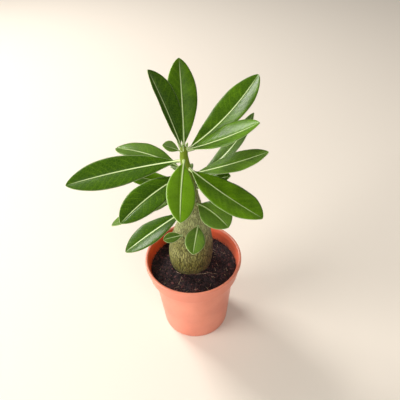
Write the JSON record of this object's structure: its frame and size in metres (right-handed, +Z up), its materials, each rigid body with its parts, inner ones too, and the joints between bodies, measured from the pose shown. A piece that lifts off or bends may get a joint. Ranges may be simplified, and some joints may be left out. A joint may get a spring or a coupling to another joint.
{
  "type": "potted desert rose",
  "caption": "Young desert rose with a swollen base, a slender green stem and long glossy leaves, growing in a plain terracotta-coloured nursery pot.",
  "frame": {"origin": "middle of the pot's flat underside", "axes": "+Z up along the pot, +X to the right and -Y towards the viewer of the picture"},
  "size_m": [0.1789, 0.1449, 0.2998],
  "materials": {
    "pot_plastic": "terracotta-coloured moulded plastic, satin",
    "potting_mix": "dark moist crumbly potting mix with bark and fibre",
    "bark": "olive-grey skin with fine upright fissures, green on the young stem",
    "leaf": "glossy leathery leaf with a pale midrib",
    "young_leaf": "soft young leaf, paler green"
  },
  "bodies": {
    "root": {"pot": "pot_plastic", "soil": "potting_mix", "caudex_stem": "bark", "leaf_tip_left": "young_leaf", "leaf_tip_right": "young_leaf", "leaf_young": "young_leaf", "leaf_top_back": "leaf", "leaf_top_right": "leaf", "leaf_top_left": "leaf", "leaf_top_far_right": "leaf", "leaf_front": "leaf", "leaf_left_long": "leaf", "leaf_right_broad": "leaf", "leaf_left_arched": "leaf", "leaf_right_level": "leaf", "leaf_left_front": "leaf", "leaf_right_behind": "leaf", "leaf_left_mid": "leaf", "leaf_back_mid": "leaf", "leaf_right_under": "leaf", "leaf_left_under": "leaf", "leaf_back_right": "leaf", "leaf_back_left": "leaf", "leaf_right_droop": "leaf", "leaf_left_low": "leaf", "leaf_base_front": "leaf", "leaf_base_side": "leaf"}
  },
  "joints": []
}
